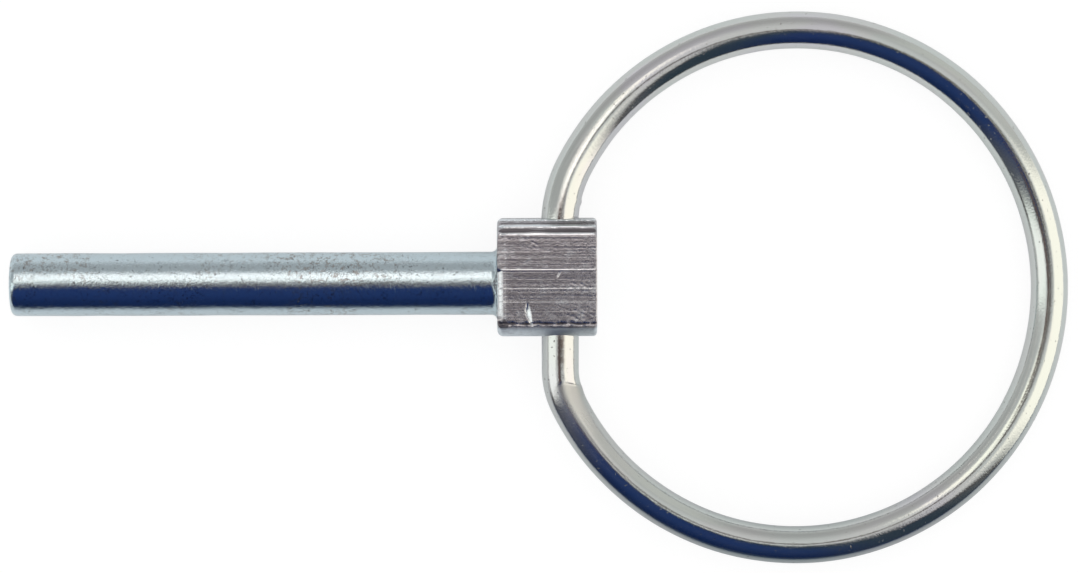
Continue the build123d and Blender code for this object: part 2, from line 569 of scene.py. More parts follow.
def shank_outlines():
    """The outlines of the shank, with its slow swell. The shear has cut its flare to the flats' height."""
    x, radius = shank_profile()
    angle = shank_angles()
    outline = np.empty((len(x), AROUND, 3))
    outline[..., 0] = x[:, None]
    outline[..., 1] = radius[:, None] * np.cos(angle)
    outline[..., 2] = radius[:, None] * np.sin(angle)
    share = np.clip(radius / SHANK_RADIUS, 0, 1)[:, None]
    swell = SHANK_SWELL * waves(outline, *SWELL_LENGTHS, SEED) - SKIN
    outline[..., 1] += swell * share * np.cos(angle)
    outline[..., 2] += swell * share * np.sin(angle)
    outline[..., 2] = np.clip(outline[..., 2], -FLARE_TOP, FLARE_TOP)
    return outline


shank = shank_outlines()
print("the shank has", len(shank), "outlines")

# %% [markdown]
# ## The head
#
# Seen from above the head is nearly square, but its two sides are round at the top and bottom. Along its
# shoulder runs a bevel. On the upper flat this bevel is steep over the lower half and almost level above
# it, so the one part mirrors the left window and the other part doesn't. The shear has left the edge of
# the flat on the far side as a bright ridge with two torn flutes below it, and on the near side as a
# ragged burr.


# %% Height of the flats
BEVEL_START, BEVEL_SLOPE, STEEPER_BY = -5.38, 0.12, 0.02
BEVEL_LINE = (-5.36, 0.06, 0.015)
STEEP_SIDES = (-3.5, 1.26)
STEEP_PARTS = [(-5.76, 0.5, 0.46), (-6.19, 0.11, 0.6)]
SHINY_PLACE, SHINY_SIDES = (-5.97, 0.22), (-3.4, 1.2)
UNDER_BEVEL_START, UNDER_BEVEL_SLOPE = -5.4, 0.41


def bevel_drop(x, y):
    """How far the upper flat has sunk towards the shoulder. A steep part has a start, a length, a slope."""
    steep = past(y, STEEP_SIDES[0], 16) * before(y, STEEP_SIDES[1], 16)
    line_x, line_half, line_height = BEVEL_LINE
    drop = (BEVEL_SLOPE + STEEPER_BY * steep) * np.clip(BEVEL_START - x, 0, None)
    drop = drop - line_height * valley(x, line_x, line_half)
    for start, length, slope in STEEP_PARTS:
        drop = drop + steep * slope * np.clip(start - x, 0, length)
    return drop


def steep_bevel(x, y):
    """1 on the steep part of the upper bevel, painted pale: burnish, partly a painted highlight."""
    return valley(x, *SHINY_PLACE) * past(y, SHINY_SIDES[0], 12) * before(y, SHINY_SIDES[1], 12)


def flat_height(x, y, top):
    """The height of a flat above the axis, before its lines."""
    drop = bevel_drop(x, y) if top else UNDER_BEVEL_SLOPE * np.clip(UNDER_BEVEL_START - x, 0, None)
    return FLAT_HEIGHT - drop - round_off(HEAD_END_X - x, FLAT_END_ROUND)


def soft_lower(first, second, soft):
    """The lower of two heights, with a soft edge where they meet."""
    return first - soft * np.log1p(np.exp(np.clip((first - second) / soft, -60, 60)))


# %% [markdown]
# A line along the head is given by its place across the head, its half width and its height.

# %% Flutes on the far side, and the burr on the near side
CHAMFER_START, CHAMFER_WIDTH, CHAMFER_SLOPE = 4.83, 0.26, 0.2
CHAMFER_ENDS = (5.4, 5.9)
FIRST_FLUTE = (5.22, 0.08, -0.085)
CREST = (5.66, 0.13, 0.14)
SECOND_FLUTE = (5.98, 0.10, -0.06)
EDGE_LINE = (6.33, 0.09, 0.12)
EDGE_BEAD = (6.33, 0.09, 0.14)
BURR_PLACE, BURR_HALF, BURR_HEIGHT = -4.24, 0.05, 0.018
GROOVE_AWAY, GROOVE_HALF, GROOVE_DEPTH = 0.16, 0.11, 0.085


def along_head(y, mark, wander=0.0):
    """Height of one line along the head."""
    place, half, height = mark
    return height * valley(y, place + wander, half)


def flutes(x, y):
    """Height of the ridge and of the torn flutes over the round of the far side."""
    wander = 0.012 * math.sin(1.7 * x) + 0.008 * math.sin(4.3 * x + 1)
    beads = 0.6 + 0.4 * math.sin(9 * x + 2 * math.sin(3.1 * x))
    fade = 0.45 + 0.55 * (past(x, -1.6, 3) + before(x, -2.9, 4))
    chamfer = CHAMFER_SLOPE * np.clip(y - CHAMFER_START, 0, CHAMFER_WIDTH)
    chamfer = chamfer * np.clip((CHAMFER_ENDS[1] - y) / (CHAMFER_ENDS[1] - CHAMFER_ENDS[0]), 0, 1)
    height = fade * (along_head(y, FIRST_FLUTE, wander) - chamfer)
    height = height + along_head(y, CREST, wander) + along_head(y, SECOND_FLUTE, -wander)
    return height + along_head(y, EDGE_LINE) + beads * along_head(y, EDGE_BEAD)


def burr(x, y):
    """Height of the ragged burr and of the groove behind it, along the near edge of the flat."""
    ragged = math.sin(5.3 * x + 1) + 0.8 * math.sin(11.9 * x + 2 * math.sin(2.2 * x))
    ragged = ragged + 0.5 * math.sin(23 * x)
    place = BURR_PLACE + 0.03 * math.sin(2.1 * x) + 0.02 * ragged
    crest = BURR_HEIGHT + 0.012 * ragged
    groove = GROOVE_DEPTH + 0.03 * math.sin(3.7 * x + 1) + 0.025 * ragged
    return crest * valley(y, place, BURR_HALF) - groove * valley(y, place + GROOVE_AWAY, GROOVE_HALF)


# %% [markdown]
# The shear's lines are many small steps at random, and a few long ones that run the whole length of the
# flat. A long step is given by its place across the flat, its height and the length of its tail.

# %% Lines on the flats
LONG_STEPS = [(1.38, 0.028, 0.6), (-0.53, 0.016, 0.5), (-1.87, 0.013, 0.5), (2.6, 0.008, 0.4)]
LONG_STEP_WIDTH = 0.12
SMALL_STEPS, SMALL_STEP_HEIGHT = 190, 0.0016
LINED_SIDES = (-4.2, 5.0)
LINES_FADE = 0.4


def flat_lines(x, y, top):
    """Height of the shear's lines over a flat."""
    here = np.full(y.shape, x)
    seed = SEED + (20 if top else 40)
    reach = (*LINED_SIDES, SHOULDER_X, HEAD_END_X)
    height = random_steps(here, y, *reach, SMALL_STEPS, SMALL_STEP_HEIGHT, seed)
    if top:
        for place, deep, tail in LONG_STEPS:
            wander = 0.006 * math.sin(1.3 * x + place)
            height = height + deep * one_step(y, place + wander, LONG_STEP_WIDTH, tail)
    return height * min(1, max(0, (x - SHOULDER_X) / LINES_FADE))


print("the head's relief is ready")


# %% Sides of the head
def side_line(corner, shrink, high, low, counts):
    """One side of the section, from the upper flat's edge down to the lower flat's, as if it faced +Y."""
    middle_y, middle_z, radius = corner[0], corner[1], corner[2] - shrink
    upper = np.linspace(math.asin((high - middle_z) / radius), 0, counts[0] + 1)[1:]
    lower = np.linspace(0, -math.asin((low - middle_z) / radius), counts[2] + 1)[:-1]
    straight = np.linspace(middle_z, -middle_z, counts[1] + 2)[1:-1]
    y = np.concatenate([np.cos(upper), np.ones(counts[1]), np.cos(lower)]) * radius + middle_y
    z = [middle_z + np.sin(upper) * radius, straight, np.sin(lower) * radius - middle_z]
    return y, np.concatenate(z)


def edge_place(corner, shrink, height):
    """How far out a flat of some height meets the round of its side."""
    radius = corner[2] - shrink
    return corner[0] + math.sqrt(radius**2 - (height - corner[1]) ** 2)


# %% One outline of the head
FAR_EDGE_Y, NEAR_EDGE_Y = 5.0, -4.0
SHOULDER_FADE, END_FADE = 0.5, 0.3
SOFT_TOP, SOFT_SIDE, NO_LIMIT = 0.02, 0.04, 9.0
# Burnish, partly a painted highlight: how raised edges, long steps, the steep bevel and the ridge are
# painted pale.
RAISED_SHINES = (0.02, 0.05)
FULL_SHINE, SHINE_HALF = 0.036, 0.06
BEVEL_PAINTED_HIGHLIGHT = 0.6
RIDGE_START, RIDGE_PLACE = 4.9, (4.93, 0.12)


def burnish_and_highlight_parts(x, flat_y, raised, worked):
    """How pale each point is painted, by the raised edges, the long steps, the steep bevel and the ridge.
    This is burnish, and partly a painted highlight.
    """
    low, high = RAISED_SHINES
    burnish = np.clip((raised - low) / (high - low), 0, 1)
    steps = sum(deep / FULL_SHINE * valley(flat_y, place, SHINE_HALF) for place, deep, _ in LONG_STEPS)
    on_flat = [
        burnish[:FLAT_POINTS] * (flat_y > RIDGE_START),
        worked * np.clip(steps, 0, 1),
        BEVEL_PAINTED_HIGHLIGHT * steep_bevel(x, flat_y),
        worked * valley(flat_y, *RIDGE_PLACE),
    ]
    burnish[:FLAT_POINTS] = np.max(on_flat, axis=0)
    return burnish


def head_outline(x):
    """One closed outline of the head at x, with the depth of its hollows and how burnished it is."""
    shrink = round_off(x - SHOULDER_X, SHOULDER_ROUND) + round_off(HEAD_END_X - x, END_ROUND) + SKIN
    high = float(flat_height(x, np.array(FAR_EDGE_Y), True))
    low = float(flat_height(x, np.array(NEAR_EDGE_Y), True))
    under = float(flat_height(x, np.array(0.0), False))
    worked = min(1, (x - SHOULDER_X) / SHOULDER_FADE, (HEAD_END_X - x) / END_FADE)

    upper_edges = edge_place(UPPER_CORNER, shrink, high), -edge_place(LOWER_CORNER, shrink, low)
    under_edges = -edge_place(LOWER_CORNER, shrink, under), edge_place(UPPER_CORNER, shrink, under)
    flat_y = np.linspace(*upper_edges, FLAT_POINTS)
    under_y = np.linspace(*under_edges, UNDER_POINTS)
    side_y, side_z = side_line(UPPER_CORNER, shrink, high, under, SIDE_POINTS)
    lip_y, lip_z = side_line(LOWER_CORNER, shrink, low, under, LIP_POINTS)

    middle_y, middle_z, radius = UPPER_CORNER[0], UPPER_CORNER[1], UPPER_CORNER[2] - shrink
    away = np.clip(flat_y - middle_y, 0, radius)
    rounding = middle_z + np.sqrt(np.clip(radius**2 - away**2, 0, None))
    nominal = flat_height(x, flat_y, True)
    flat_z = soft_lower(nominal, np.where(flat_y > middle_y, rounding, NO_LIMIT), SOFT_TOP)
    relief = flat_lines(x, flat_y, True) + worked * (burr(x, flat_y) + flutes(x, flat_y))
    upper_side = side_z > middle_z
    side_flat = flat_height(x, side_y, True)
    side_z = np.where(upper_side, soft_lower(side_z, side_flat, SOFT_SIDE), side_z)
    side_relief = np.where(upper_side, worked * flutes(x, side_y), 0)

    y = np.concatenate([flat_y, -lip_y, under_y, side_y[::-1]])
    under_z = -flat_height(x, under_y, False) - flat_lines(x, under_y, False)
    z = np.concatenate([flat_z + relief, lip_z, under_z, (side_z + side_relief)[::-1]])
    raised = np.concatenate([relief, lip_z * 0, under_z * 0, side_relief[::-1]])
    outline = np.stack([np.full(AROUND, x), y, z], axis=-1)
    # The depth of the hollows goes on to painted shade in the plating, and the burnish to paler paint that
    # is partly a painted highlight.
    return outline, np.clip(-raised, 0, None), burnish_and_highlight_parts(x, flat_y, raised, worked)


# %% Stack the outlines of the head
ROUND_SECTIONS, LINED_SECTIONS, END_SECTIONS = 12, 112, 10
LINED_START = 0.56

head_x = np.concatenate(
    [
        SHOULDER_X + SHOULDER_ROUND * (1 - np.cos(np.radians(np.linspace(0, 80, ROUND_SECTIONS)))),
        np.linspace(SHOULDER_X + LINED_START, HEAD_END_X - END_ROUND, LINED_SECTIONS),
        HEAD_END_X - END_ROUND * (1 - np.sin(np.radians(np.linspace(10, 90, END_SECTIONS)))),
    ]
)
head_x = np.unique(np.round(head_x, 4))
sections = [head_outline(min(x, HEAD_END_X - 1e-4)) for x in head_x]
head, head_hollow, head_burnish_and_highlight = (np.stack(part) for part in zip(*sections))
print("the head has", len(head), "outlines; its hollows are up to", round(head_hollow.max(), 3), "mm deep")

# %% [markdown]
# The shoulder is a face between the last outline of the shank and the first one of the head, and the end
# of the head is a face that closes in on its middle. Both are filled with a few outlines in between. Then
# come the marks that don't follow the outlines: the corner that the press crumpled, a chipped corner, a
# crescent of steel that the shear turned up, a short nick, and bruises.


# %% Fill the shoulder and the end
SHOULDER_SHARES = (0.15, 0.35, 0.55, 0.75, 0.92)
END_SHARES = (0.03, 0.15, 0.4, 0.7, 0.93)


def between(first, last, shares):
    """Outlines between two outlines."""
    return np.stack([first * (1 - s) + last * s for s in shares])


shoulder = between(shank[-1], head[0], SHOULDER_SHARES)
end_middle = np.array([HEAD_END_X, HEAD_MIDDLE_Y, 0.0])
end = between(head[-1], np.broadcast_to(end_middle, head[-1].shape), END_SHARES)
points = np.concatenate([shank, shoulder, head, end])
plain_start = np.zeros((len(shank) + len(shoulder), AROUND))
plain_end = np.zeros((len(end), AROUND))
hollow = np.concatenate([plain_start, head_hollow, plain_end])
burnish = np.concatenate([plain_start, head_burnish_and_highlight, plain_end])
print("the pin has", len(points), "outlines")

# %% Marks of the press and of the shear
CRUMPLED_CORNER = (-5.75, 5.55, 0.55, 0.75)
CHIPPED_CORNER = (-5.75, -4.2, 0.36, 0.42)
CHIP_DEPTH, CHIP_PAINTED_SHADE = 0.15, 0.35
BEVEL_RIPPLE = 0.006
CRESCENT_X, CRESCENT_Y, CRESCENT_SPAN = -3.2, -2.1, 2.1
NICK_X, NICK_Y, NICK_LEAN = -0.12, 0.85, 0.55
NICK_HALF, NICK_LENGTH, NICK_DEPTH = 0.065, 0.28, 0.04
# How pale the crescent and the nick are painted: burnish, partly a painted highlight.
MARK_PAINTED_HIGHLIGHT = 0.7
FINE_WAVES = (0.28, 0.6)


def press_marks(points, top, on_head, hollow):
    """The corner that the press crumpled, and the chipped one."""
    x, y, z = points[..., 0], points[..., 1], points[..., 2]
    crumple = hill(x, y, *CRUMPLED_CORNER) * (z > 1.0) * on_head
    points[..., 2] -= crumple * (0.05 + 0.06 * waves(points, 0.3, 0.8, SEED + 3))
    points[..., 1] -= crumple * (0.03 + 0.03 * waves(points, 0.3, 0.7, SEED + 4))
    chip = hill(x, y, *CHIPPED_CORNER) * top * on_head
    chip = chip * np.clip(0.7 + 0.35 * waves(points, 0.35, 0.9, SEED + 5), 0.1, 1.3)
    points[..., 2] -= CHIP_DEPTH * chip
    # Painted shade: the chip adds to the depth of the hollows, so the plating paints it darker.
    hollow += top * CHIP_PAINTED_SHADE * chip


def shear_marks(points, top, burnish):
    """The ripples of the steep bevel, the crescent that the shear turned up, and the nick."""
    x, y = points[..., 0], points[..., 1]
    points[..., 2] -= top * steep_bevel(x, y) * BEVEL_RIPPLE * waves(points, *FINE_WAVES, SEED + 9)
    down = np.clip((CRESCENT_Y - y) / CRESCENT_SPAN, 0, 1.1)
    curve = CRESCENT_X + 0.06 * down + 0.36 * down**2
    length = before(y, CRESCENT_Y - 0.05, 8) * past(y, CRESCENT_Y - CRESCENT_SPAN, 16)
    half = 0.07 + 0.17 * valley(down, 0.42, 0.36)
    face = np.clip((curve + half - x) / (2 * half), 0, 1) * past(x, curve - half - 0.05, 45)
    points[..., 2] -= top * length * half * face
    # Painted highlight with burnish: the crescent and the nick are painted pale.
    np.maximum(burnish, MARK_PAINTED_HIGHLIGHT * top * length * np.clip(face * 4, 0, 1), out=burnish)
    nick = valley(x - NICK_X - NICK_LEAN * (y - NICK_Y), 0, NICK_HALF)
    nick = nick * np.exp(-(((y - NICK_Y) / NICK_LENGTH) ** 4))
    points[..., 2] -= top * NICK_DEPTH * nick
    np.maximum(burnish, MARK_PAINTED_HIGHLIGHT * top * nick, out=burnish)


# %% Bruises
BRUISES = [(1.0, 2.2, -0.35, 1.1, 0.5), (1.0, 1.9, -3.1, 1.3, 0.7), (0.7, -2.7, 3.9, 0.7, 0.5)]
BRUISE_DEPTH = 0.02


def bruise(points, top, on_head, hollow):
    """Small pocks in a few places. Each place has a strength, a middle and two half widths."""
    x, y = points[..., 0], points[..., 1]
    bruised = sum(strength * hill(x, y, *place) for strength, *place in BRUISES)
    pocks = np.clip(waves(points, *FINE_WAVES, SEED + 6) - 0.3, 0, 2)
    points[..., 2] -= top * on_head * BRUISE_DEPTH * bruised * pocks
    # Painted shade: the pocks add to the depth of the hollows, so the plating paints them darker.
    hollow += top * BRUISE_DEPTH * bruised * pocks


# %% Work the head
TOP_FROM, TOP_FADE = 2.9, 0.4

top = np.clip((points[..., 2] - TOP_FROM) / TOP_FADE, 0, 1)
on_head = points[..., 0] > SHOULDER_X - 1e-6
press_marks(points, top, on_head, hollow)
shear_marks(points, top, burnish)
bruise(points, top, on_head, hollow)
print("the deepest mark counts as", round(float(hollow.max()), 2), "mm")


# %% Skin the pin
def skinned(name, outlines, ends):
    """A closed skin over a stack of outlines, with a fan of triangles to a point at either end."""
    rows, columns = outlines.shape[:2]
    count, last = rows * columns, (rows - 1) * columns
    here = np.arange(columns)
    after = (here + 1) % columns
    fans = [(count, b, a) for a, b in zip(here, after)]
    fans += [(count + 1, last + a, last + b) for a, b in zip(here, after)]
    faces = [*grid_faces(rows, columns, closed=True), *fans]
    return new_mesh(name, np.concatenate([outlines.reshape(-1, 3), ends]), faces)


def carry(piece, label, numbers):
    """Stores a number for each point of a skin. The two end points take those of their neighbours."""
    numbers = numbers.ravel()
    filled = np.concatenate([numbers, [numbers[0], numbers[-1]]]).astype(np.float32)
    piece.data.attributes.new(label, "FLOAT", "POINT").data.foreach_set("value", filled)


TIP_INSET = 0.002
points[..., 2] = np.clip(points[..., 2], -AXIS_HEIGHT, AXIS_HEIGHT) + AXIS_HEIGHT
pin_ends = [[TIP_X + TIP_INSET, 0, AXIS_HEIGHT], [HEAD_END_X, HEAD_MIDDLE_Y, AXIS_HEIGHT]]
pin = skinned("plated_pin", points, pin_ends)
carry(pin, "hollow", hollow)
carry(pin, "burnish", burnish)
print("the pin is skinned with", len(pin.data.polygons), "faces")

# %% [markdown]
# The cross hole is drilled with a boolean, as a drill would: a long rod, a little thicker than the wire.
# The plating lets the hole's rim keep its sharp edge.

# %% Drill the cross hole
DRILL_POINTS = 96
DRILL_ENDS = (-8.0, 9.0)
PIN_SHARP, RING_SHARP = 38, 40
turn = np.linspace(0, 2 * np.pi, DRILL_POINTS, endpoint=False)
drill_points = [
    (HOLE_RADIUS * math.cos(t), y, AXIS_HEIGHT + HOLE_RADIUS * math.sin(t))
    for y in DRILL_ENDS
    for t in turn
]
drill_faces = [f[::-1] for f in grid_faces(2, DRILL_POINTS, closed=True)]
drill_faces.append(list(range(DRILL_POINTS)))
drill_faces.append([DRILL_POINTS + n for n in range(DRILL_POINTS)][::-1])
drill = new_mesh("drill", drill_points, drill_faces)


def settle(piece):
    """Applies a piece's modifiers to its mesh."""
    graph = bpy.context.evaluated_depsgraph_get()
    mesh = bpy.data.meshes.new_from_object(piece.evaluated_get(graph))
    piece.modifiers.clear()
    piece.data = mesh


cut = pin.modifiers.new("cross_hole", "BOOLEAN")
cut.operation = "DIFFERENCE"
cut.solver = "EXACT"
cut.object = drill
settle(pin)
bpy.data.objects.remove(drill)
pin.data.shade_smooth()
pin.data.set_sharp_from_angle(angle=math.radians(PIN_SHARP))
print("after drilling it has", len(pin.data.polygons), "faces")

# %% [markdown]
# ## The ring
#
# The ring is one spring wire, sheared off square at both ends. Its ends meet inside the head with a small
# gap, its legs are straight where they turn in the hole, and a bending tool set the bends next to them.
# The tool pinched the inside of the lower bend: a nick, and below it a flat that fades out along the wire.
# A curve with a bevel could make the tube, but the nick, the flat and the bump need points of their own,
# so a circle is swept along the centre line. The line is a chain of arcs that run into each other,
# as in the CAD: a wide upper bend, three arcs of nearly the same radius for the hoop, and a tighter lower
# bend.

# %% Sizes of the ring, in millimetres and degrees
WIRE_RADIUS = 1.88
END_GAP = 1.6
UPPER_LEG = 4.35
BENDS = [(13.0, 27.2187), (25.3, 112.7813), (26.3, 70.0), (25.6, 123.7), (8.0, 26.3)]
LOWER_LEG = 8.467
RING_DROP = 2.108
WIRE_POINTS = 72
wire_length = UPPER_LEG + sum(radius * math.radians(turned) for radius, turned in BENDS) + LOWER_LEG
print("the wire is", round(wire_length, 1), "mm long")


# %% Centre line of the wire
def wire_line(distance):
    """Place in the ring's plane, and angle turned, at a distance from the wire's upper end."""
    out = np.zeros(distance.shape)
    along = END_GAP / 2 + np.minimum(distance, UPPER_LEG)
    begun, turned, now = UPPER_LEG, 0.0, np.zeros(distance.shape)
    for radius, angle in BENDS:
        part = np.clip(distance - begun, 0, radius * math.radians(angle)) / radius
        out = out + radius * (math.cos(turned) - np.cos(turned + part))
        along = along + radius * (np.sin(turned + part) - math.sin(turned))
        now = now + part
        begun, turned = begun + radius * math.radians(angle), turned + math.radians(angle)
    return out, along + np.clip(distance - begun, 0, None), now


lower_end = wire_line(np.array([wire_length]))
print("the wire's ends are", round(END_GAP / 2 - float(lower_end[1][0]), 2), "mm apart")

# %% [markdown]
# Along the wire the distance runs from the end of the upper leg to the end of the lower one. Round the
# wire the angle runs from the outside of the ring over the top to the inside. The points stand closer
# together near the two bends, where the tool marks are.


# %% Marks of the bending tool
MARKED_LENGTH, FINE_OUTLINES, COARSE_OUTLINES = 17, 140, 270
PINCH_START, PINCH_FADE, PINCH_FACING = 10.2, 5.0, 128
PINCH_FLAT, PINCH_NICK, PINCH_KINK = 0.16, 0.09, 0.07
UPPER_BUMP, UPPER_BUMP_PLACE, UPPER_BUMP_HALF = 0.10, 7.1, 0.32


def wire_places():
    """Distances of the wire's outlines, closest together at the bends."""
    fine = np.linspace(0, MARKED_LENGTH, FINE_OUTLINES)
    coarse = np.linspace(MARKED_LENGTH, wire_length - MARKED_LENGTH, COARSE_OUTLINES)[1:-1]
    return np.concatenate([fine, coarse, wire_length - fine[::-1]])


def tool_marks(distance, angle):
    """How far the wire's surface stands off its circle, and how scuffed it is."""
    to_end = wire_length - distance
    facing = np.clip(np.cos(angle - math.radians(PINCH_FACING)), 0, 1)
    start = PINCH_START + 0.3 * np.sin(angle * 3)
    past_nick = past(to_end, start, 10)
    fade = np.exp(-np.clip(to_end - start, 0, None) / PINCH_FADE)
    flat = -PINCH_FLAT * past_nick * fade * facing**6
    nick = -PINCH_NICK * valley(to_end, start, 0.15) * facing**14
    inner = np.clip(np.cos(angle - math.pi), 0, 1) ** 6
    kink = PINCH_KINK * inner * past_nick * valley(to_end, start + 0.8, 0.9)
    bump = UPPER_BUMP * inner * valley(distance, UPPER_BUMP_PLACE, UPPER_BUMP_HALF)
    scuffed = past_nick * fade * np.clip(facing * 1.35 - 0.3, 0, 1)
    return flat + nick + kink + bump, np.clip(scuffed, 0, 1)


# %% Sweep the wire
WIRE_SWELL = 0.004
WIRE_SWELL_LENGTHS = (4, 13)

distance = wire_places()
around = np.linspace(0, 2 * np.pi, WIRE_POINTS, endpoint=False)
out, along, turned = wire_line(distance)
s, a = np.meshgrid(distance, around, indexing="ij")
local = np.stack([s, np.cos(a) * WIRE_RADIUS, np.sin(a) * WIRE_RADIUS], axis=-1)
marks, scuffed = tool_marks(s, a)
reach = WIRE_RADIUS - SKIN + marks + WIRE_SWELL * waves(local, *WIRE_SWELL_LENGTHS, SEED + 8)
plane_x = out[:, None] - np.cos(turned)[:, None] * reach * np.cos(a)
plane_y = along[:, None] + np.sin(turned)[:, None] * reach * np.cos(a)
plane_z = reach * np.sin(a)
drop = math.radians(RING_DROP)
ring_points = np.stack(
    [
        plane_x * math.cos(drop) + plane_z * math.sin(drop),
        plane_y + HEAD_MIDDLE_Y,
        plane_z * math.cos(drop) - plane_x * math.sin(drop) + AXIS_HEIGHT,
    ],
    axis=-1,
)
print("the wire has", len(distance), "outlines of", WIRE_POINTS, "points")

# %% [markdown]
# Each sheared end of the wire is a face with a slightly rounded rim, closed in on its middle.


# %% Close the ends of the wire
END_RINGS = ((0.06, 0.1), (0.12, 0.13), (0.5, 0.14), (0.85, 0.14))


def closing(outline, inward):
    """Outlines that close an end. Each has drawn in by a share, and stands out by some millimetres."""
    middle = outline.mean(axis=0)
    return [outline + (middle - outline) * share - inward * step for share, step in END_RINGS]


def end_way(last, before_last):
    """The direction in which the wire runs out at one end."""
    way = last.mean(axis=0) - before_last.mean(axis=0)
    return way / np.linalg.norm(way)


first_caps = closing(ring_points[0], -end_way(ring_points[0], ring_points[1]))[::-1]
last_caps = closing(ring_points[-1], -end_way(ring_points[-1], ring_points[-2]))
tube = np.concatenate([first_caps, ring_points, last_caps])
ring = skinned("spring_ring", tube, [tube[0].mean(axis=0), tube[-1].mean(axis=0)])
caps = ((len(END_RINGS), len(END_RINGS)), (0, 0))
carry(ring, "wire_s", np.pad(s, caps, mode="edge"))
carry(ring, "wire_u", np.tile(np.cos(around) * WIRE_RADIUS, len(tube)))
carry(ring, "wire_v", np.tile(np.sin(around) * WIRE_RADIUS, len(tube)))
carry(ring, "scuffed", np.pad(scuffed, caps, mode="edge"))
ring.data.shade_smooth()
ring.data.set_sharp_from_angle(angle=math.radians(RING_SHARP))
print("the ring has", len(ring.data.polygons), "faces")

# %% [markdown]
# ## Plating on the pin
#
# Bright zinc is a pale blue-grey metal. On the shank it is smooth, with pits as fine as dust that fray the
# edges of every reflection, darker specks, and faint brown stains where it has been handled. The flats
# were sheared before plating, so there it is duller. The head's deepest lines, the chip and the pocks get
# painted shade. Its raised edges, long steps, steep bevel and marks are painted paler: burnish, partly a
# painted highlight. The lip is painted paler too, as a painted reflection of the paper. One material
# does both: the depth of the lines comes from the mesh, and masks by place tell the flats from the shank.


# %% Helpers for the plating
def noise(vector, scale, detail=2.0, rough=0.5, stretch=(1, 1, 1), shift=(0, 0, 0)):
    """Noise from 0 to 1. Scale is the number of its cells in a millimetre."""
    mapped = vector.node(
        "ShaderNodeMapping",
        inputs={
            "Vector": vector,
            "Location": shift,
            "Scale": tuple(scale / MM * part for part in stretch),
        },
    )
    return vector.node(
        "ShaderNodeTexNoise",
        inputs={"Vector": mapped, "Scale": 1.0, "Detail": detail, "Roughness": rough},
    )


def plate(piece, material, start, colour, roughness, relief):
    """Finishes a material and gives it to its piece. The relief is in millimetres."""
    bumped = start.node(
        "ShaderNodeBump", inputs={"Height": relief * MM, "Distance": 1.0, "Strength": 1.0}
    )
    metal = start.node(
        "ShaderNodeBsdfPrincipled",
        inputs={"Base Color": colour, "Metallic": 1.0, "Roughness": roughness, "Normal": bumped},
    )
    start.node("ShaderNodeOutputMaterial", inputs={"Surface": metal})
    piece.data.materials.clear()
    piece.data.materials.append(material)


# %% Pin plating
PLATE_BLUE = (0.50, 0.59, 0.63, 1)
PLATE_WARM = (0.20, 0.165, 0.14, 1)
PLATE_DARK = (0.09, 0.085, 0.09, 1)
FLAT_TONE = (0.425, 0.41, 0.43, 1)
FLAT_WARM = (0.27, 0.25, 0.26, 1)
# A dark tone for grain on the flats and for painted shade in the hollows.
GRAIN_AND_HOLLOW_SHADE = (0.13, 0.12, 0.13, 1)
# A pale tone for random patches on the flats, for burnish that is partly a painted highlight, and for the
# lip's painted reflection.
BURNISH_AND_PAINTED_HIGHLIGHT = (0.74, 0.78, 0.81, 1)
SMOOTH = 0.11
# Depths over which the hollows are painted darker, as painted shade.
HOLLOW_SHADE_DEPTHS = (0.02, 0.06)
LIP_START, LIP_TOP = (-4.38, -4.6), (3.62, 3.5)
FLAT_FROM, RIDGE_FROM = (3.15, 3.4), (4.7, 4.95)

pin_material = bpy.data.materials.new("pin_plating")
begin = empty_tree(pin_material)
place = begin.node("ShaderNodeTexCoord", output="Object")
x_mm, y_mm, z_mm = (part * (1 / MM) for part in place.xyz())
on_head = x_mm.rise(SHOULDER_X - 0.1, SHOULDER_X + 0.1)
off_axis = z_mm - AXIS_HEIGHT
off_axis = off_axis.maths("ABSOLUTE", off_axis)
on_flat, on_ridge = off_axis.rise(*FLAT_FROM), y_mm.rise(*RIDGE_FROM)
sheared = on_flat.maths("MAXIMUM", on_flat, on_ridge) * on_head
hollow_depth = begin.node("ShaderNodeAttribute", {"attribute_name": "hollow"}, output="Fac")
burnish_and_highlight_mask = begin.node("ShaderNodeAttribute", {"attribute_name": "burnish"}, output="Fac")
# Painted shade: a mask of the head's deeper hollows.
painted_hollow_shade = hollow_depth.rise(*HOLLOW_SHADE_DEPTHS) * on_head
# Painted reflection: this mask paints the lip pale, as if it mirrored the paper.
lip = y_mm.rise(*LIP_START) * off_axis.rise(*LIP_TOP) * on_head

stain_place = noise(place, 0.12, detail=3, shift=(3, 1, 0)).rise(0.48, 0.62)
stain_grain = noise(place, 1.9, detail=4, rough=0.75).rise(0.49, 0.63)
stains = stain_place * stain_grain * 0.6 + stain_grain * 0.08
specks = noise(place, 3.2, detail=3, rough=0.6, shift=(5, 9, 2)).rise(0.63, 0.69)
scratch_line = noise(place, 0.9, detail=3, rough=0.6, shift=(7, 2, 9)) - 0.5
scratches = scratch_line.maths("ABSOLUTE", scratch_line).rise(0.012, 0.003)
scratches = scratches * noise(place, 0.5, detail=1, shift=(1, 8, 3)).rise(0.52, 0.62)
colour = stains.mix(PLATE_BLUE, PLATE_WARM)
colour = (specks * 0.7).mix(colour, PLATE_DARK)
colour = (scratches * 0.6).mix(colour, PLATE_DARK)
drawn = noise(place, 4.2, detail=2, rough=0.6, stretch=(0.012, 1, 1))
grain = noise(place, 4.2, detail=3, rough=0.7, stretch=(0.6, 1, 1), shift=(1, 4, 7))
patches = noise(place, 0.8, detail=2, shift=(6, 6, 6))
flat_colour = (drawn.rise(0.42, 0.6) * 0.5).mix(FLAT_TONE, FLAT_WARM)
flat_colour = (grain.rise(0.56, 0.68) * 0.5).mix(flat_colour, GRAIN_AND_HOLLOW_SHADE)
